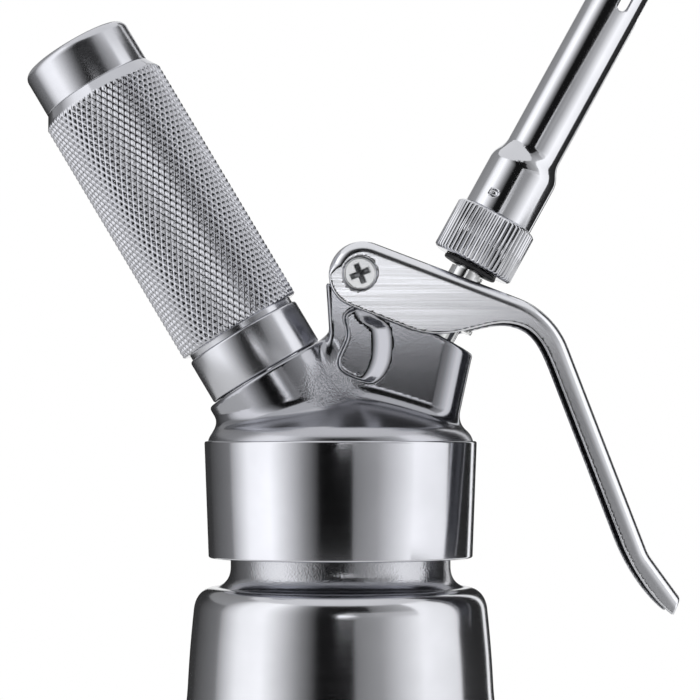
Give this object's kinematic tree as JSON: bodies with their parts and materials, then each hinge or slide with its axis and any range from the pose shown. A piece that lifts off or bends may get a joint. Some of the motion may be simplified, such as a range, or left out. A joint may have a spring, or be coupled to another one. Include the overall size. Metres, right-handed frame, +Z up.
{
  "type": "whipped cream dispenser",
  "caption": "Steel cream whipper: bottle with screw-on head, squeeze lever over a sprung valve, slanted slotted nozzle and a knurled screw-on holder for a gas charger.",
  "frame": {"origin": "centre of the bottle's base, on the plane that it stands on", "axes": "+Z up along the bottle's axis, +X towards the lever and the nozzle, the part's plane of symmetry is XZ"},
  "size_m": [0.1623, 0.084, 0.3166],
  "materials": {
    "brushed_bottle": "drawn stainless steel, brushed round",
    "cast_head": "cast steel, blasted dome and fine turned collar",
    "silicone": "translucent grey silicone",
    "brass": "plain turned brass",
    "hardened_pin": "ground hardened steel",
    "black_rubber": "matt black rubber",
    "spring_steel": "drawn spring wire",
    "screw_steel": "machined stainless steel",
    "charger_steel": "pressed steel, zinc bright",
    "turned_holder": "finely turned stainless steel",
    "knurled_grip": "diamond knurled steel",
    "satin_lever": "satin ground sheet steel",
    "polished_stem": "polished stainless steel",
    "nozzle_nut_steel": "fluted bright steel",
    "polished_nozzle": "polished stainless steel"
  },
  "bodies": {
    "bottle": {"bottle": "brushed_bottle"},
    "head_seal": {"head_gasket": "silicone"},
    "head": {"head": "cast_head", "pin_holder": "brass", "piercing_pin": "hardened_pin", "charger_seal": "black_rubber", "check_valve": "silicone", "stem_o_ring": "black_rubber", "valve_spring": "spring_steel", "pivot_screw": "screw_steel", "pivot_barrel": "screw_steel"},
    "charger": {"charger": "charger_steel"},
    "charger_holder": {"holder_shell": "turned_holder", "holder_grip": "knurled_grip", "holder_cap": "turned_holder"},
    "lever": {"lever": "satin_lever"},
    "valve": {"valve_stem": "polished_stem", "push_sleeve": "polished_stem", "valve_seal": "black_rubber", "valve_nut": "brass", "nozzle_adapter": "polished_stem"},
    "nozzle_ring": {"nozzle_seal": "black_rubber"},
    "nozzle": {"nozzle_nut": "nozzle_nut_steel", "nozzle_tube": "polished_nozzle"}
  },
  "joints": [
    {"name": "head_turn", "type": "hinge", "parent": "bottle", "child": "head_seal", "pos_m": [0, 0, 0.183], "axis": [0, 0, 1], "range_deg": [0, 900]},
    {"name": "head_lift", "type": "slide", "parent": "head_seal", "child": "head", "axis": [0, 0, 1], "range_m": [0, 0.01001]},
    {"name": "charger_turn", "type": "hinge", "parent": "head", "child": "charger", "pos_m": [-0.0183, 0, 0.2043], "axis": [-0.5128, 0, 0.8585], "range_deg": [0, 1800]},
    {"name": "holder_travel", "type": "slide", "parent": "charger", "child": "charger_holder", "axis": [-0.5128, 0, 0.8585], "range_m": [0, 0.00751]},
    {"name": "lever_squeeze", "type": "hinge", "parent": "head", "child": "lever", "pos_m": [0.0048, 0, 0.2286], "axis": [0, 1, 0], "range_deg": [0, 7.9], "stiffness_Nm_per_rad": 2, "springref_deg": -5.73},
    {"name": "valve_travel", "type": "slide", "parent": "head", "child": "valve", "axis": [-0.4818, 0, -0.8763], "range_m": [0, 0.00235], "deforming": ["valve_spring"]},
    {"name": "nozzle_turn", "type": "hinge", "parent": "valve", "child": "nozzle_ring", "pos_m": [0.0233, 0, 0.2142], "axis": [0.4818, 0, 0.8763], "range_deg": [0, 2160]},
    {"name": "nozzle_travel", "type": "slide", "parent": "nozzle_ring", "child": "nozzle", "axis": [0.4818, 0, 0.8763], "range_m": [0, 0.00751]}
  ],
  "couplings": [
    {"joint": "head_lift", "follows": "head_turn", "m_per_rad": 0.00063662},
    {"joint": "holder_travel", "follows": "charger_turn", "m_per_rad": 0.00023873},
    {"joint": "valve_travel", "follows": "lever_squeeze", "m_per_rad": 0.0166},
    {"joint": "nozzle_travel", "follows": "nozzle_turn", "m_per_rad": 0.00019894}
  ]
}
